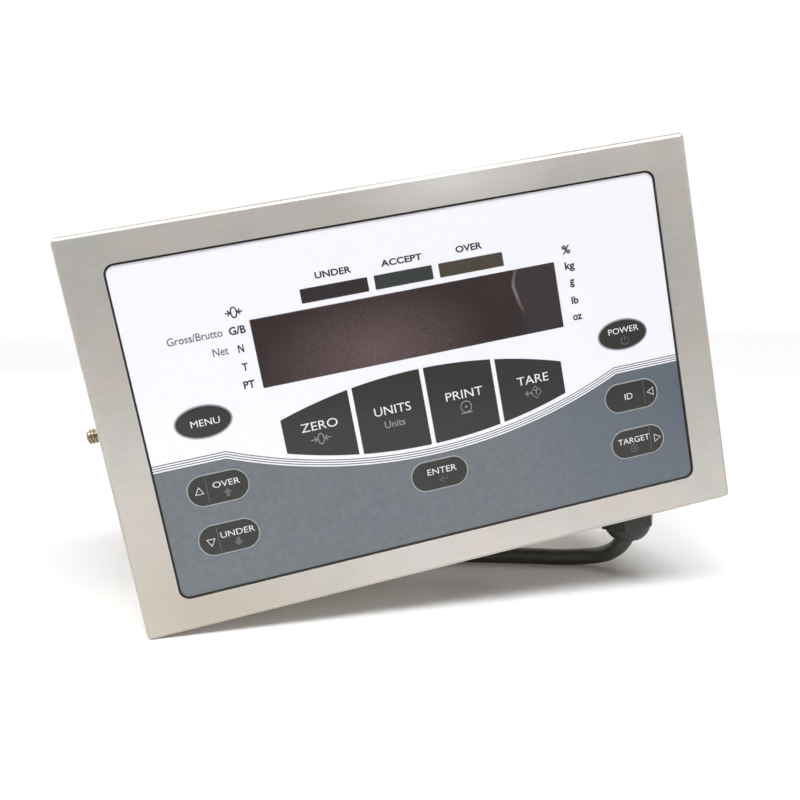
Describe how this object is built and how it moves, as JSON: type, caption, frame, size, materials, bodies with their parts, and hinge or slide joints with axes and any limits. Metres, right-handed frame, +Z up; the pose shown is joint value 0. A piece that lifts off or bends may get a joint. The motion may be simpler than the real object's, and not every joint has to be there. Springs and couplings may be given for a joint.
{
  "type": "checkweigher indicator",
  "caption": "Leaning stainless checkweigher indicator with a sealed membrane panel of travelling keys, tinted display and status windows, side studs, a bottom cable gland and a coiled cord.",
  "frame": {"origin": "on the table, under the middle of the case as it leans on its lower left edge and on the cord under its gland", "axes": "+X to the operator's right, +Y from the front face to the rear cover, +Z up; the case is rolled 10.7 degrees about +Y, right end up"},
  "size_m": [0.264, 0.1664, 0.1915],
  "materials": {
    "stainless": "satin brushed stainless sheet, grained along the long side",
    "zinc": "bright plated fasteners",
    "seal_rubber": "soft black rubber",
    "plate_metal": "mill finish",
    "overlay_film": "glossy printed film, white above and blue grey below",
    "layer_film": "thin polyester layers",
    "dome_steel": "spring steel",
    "key_film": "charcoal printed film with a pale outline",
    "red_filter": "dark red tinted window",
    "amber_filter": "dark red brown tinted window",
    "green_filter": "dark green tinted window",
    "olive_filter": "dark olive tinted window",
    "board_laminate": "green solder mask",
    "led_plastic": "grey moulded display parts",
    "lamp_plastic": "red lamp bodies",
    "standoff_brass": "turned hexagon bar",
    "chip_plastic": "moulded packages",
    "relay_plastic": "blue relay cases",
    "core_iron": "varnished laminations and winding",
    "cap_sleeve": "sleeved cans",
    "terminal_plastic": "green terminal blocks",
    "connector_plastic": "ivory connectors",
    "wire_pvc": "insulated wire",
    "gland_nylon": "black nylon",
    "cord_sheath": "black flexible sheath",
    "tie_strap": "black hook and loop strap",
    "blade_brass": "plated contact blades"
  },
  "bodies": {
    "case": {"front_housing": "stainless", "rear_cover": "stainless", "panel_studs": "zinc", "panel_nuts": "zinc", "cover_nuts": "zinc", "cover_screws": "zinc", "side_studs": "zinc", "board_screws": "zinc", "panel_seal": "seal_rubber", "rear_gasket": "seal_rubber", "cover_washers": "seal_rubber", "port_washers": "seal_rubber", "gland_insert": "seal_rubber", "panel_plate": "plate_metal", "graphic_overlay": "overlay_film", "keypad_spacer": "layer_film", "keypad_circuit": "layer_film", "keypad_tail": "layer_film", "switch_domes": "dome_steel", "display_filter": "red_filter", "under_filter": "amber_filter", "accept_filter": "green_filter", "over_filter": "olive_filter", "display_board": "board_laminate", "main_board": "board_laminate", "led_digits": "led_plastic", "status_bars": "led_plastic", "annunciator_leds": "lamp_plastic", "board_standoffs": "standoff_brass", "processor_chips": "chip_plastic", "setpoint_relays": "relay_plastic", "transformer": "core_iron", "capacitors": "cap_sleeve", "terminal_blocks": "terminal_plastic", "board_connectors": "connector_plastic", "fuse_holder": "connector_plastic", "ribbon_cable": "wire_pvc", "power_leads": "wire_pvc", "gland_body": "gland_nylon", "port_locknuts": "gland_nylon", "gland_nut": "gland_nylon", "port_plugs": "gland_nylon", "cord_run": "cord_sheath", "cord_coil": "cord_sheath", "cord_lead": "cord_sheath", "plug_body": "cord_sheath", "cord_tie": "tie_strap", "plug_blades": "blade_brass"},
    "zero_key": {"zero_key": "key_film"},
    "units_key": {"units_key": "key_film"},
    "print_key": {"print_key": "key_film"},
    "tare_key": {"tare_key": "key_film"},
    "menu_key": {"menu_key": "key_film"},
    "power_key": {"power_key": "key_film"},
    "over_key": {"over_key": "key_film"},
    "under_key": {"under_key": "key_film"},
    "enter_key": {"enter_key": "key_film"},
    "id_key": {"id_key": "key_film"},
    "target_key": {"target_key": "key_film"}
  },
  "joints": [
    {"name": "zero_press", "type": "slide", "parent": "case", "child": "zero_key", "axis": [0, 1, 0], "range_m": [0, 0.0005], "stiffness_N_per_m": 2000, "springref_m": -0.0006},
    {"name": "units_press", "type": "slide", "parent": "case", "child": "units_key", "axis": [0, 1, 0], "range_m": [0, 0.0005], "stiffness_N_per_m": 2000, "springref_m": -0.0006},
    {"name": "print_press", "type": "slide", "parent": "case", "child": "print_key", "axis": [0, 1, 0], "range_m": [0, 0.0005], "stiffness_N_per_m": 2000, "springref_m": -0.0006},
    {"name": "tare_press", "type": "slide", "parent": "case", "child": "tare_key", "axis": [0, 1, 0], "range_m": [0, 0.0005], "stiffness_N_per_m": 2000, "springref_m": -0.0006},
    {"name": "menu_press", "type": "slide", "parent": "case", "child": "menu_key", "axis": [0, 1, 0], "range_m": [0, 0.0005], "stiffness_N_per_m": 2000, "springref_m": -0.0006},
    {"name": "power_press", "type": "slide", "parent": "case", "child": "power_key", "axis": [0, 1, 0], "range_m": [0, 0.0005], "stiffness_N_per_m": 2000, "springref_m": -0.0006},
    {"name": "over_press", "type": "slide", "parent": "case", "child": "over_key", "axis": [0, 1, 0], "range_m": [0, 0.0005], "stiffness_N_per_m": 2000, "springref_m": -0.0006},
    {"name": "under_press", "type": "slide", "parent": "case", "child": "under_key", "axis": [0, 1, 0], "range_m": [0, 0.0005], "stiffness_N_per_m": 2000, "springref_m": -0.0006},
    {"name": "enter_press", "type": "slide", "parent": "case", "child": "enter_key", "axis": [0, 1, 0], "range_m": [0, 0.0005], "stiffness_N_per_m": 2000, "springref_m": -0.0006},
    {"name": "id_press", "type": "slide", "parent": "case", "child": "id_key", "axis": [0, 1, 0], "range_m": [0, 0.0005], "stiffness_N_per_m": 2000, "springref_m": -0.0006},
    {"name": "target_press", "type": "slide", "parent": "case", "child": "target_key", "axis": [0, 1, 0], "range_m": [0, 0.0005], "stiffness_N_per_m": 2000, "springref_m": -0.0006}
  ]
}
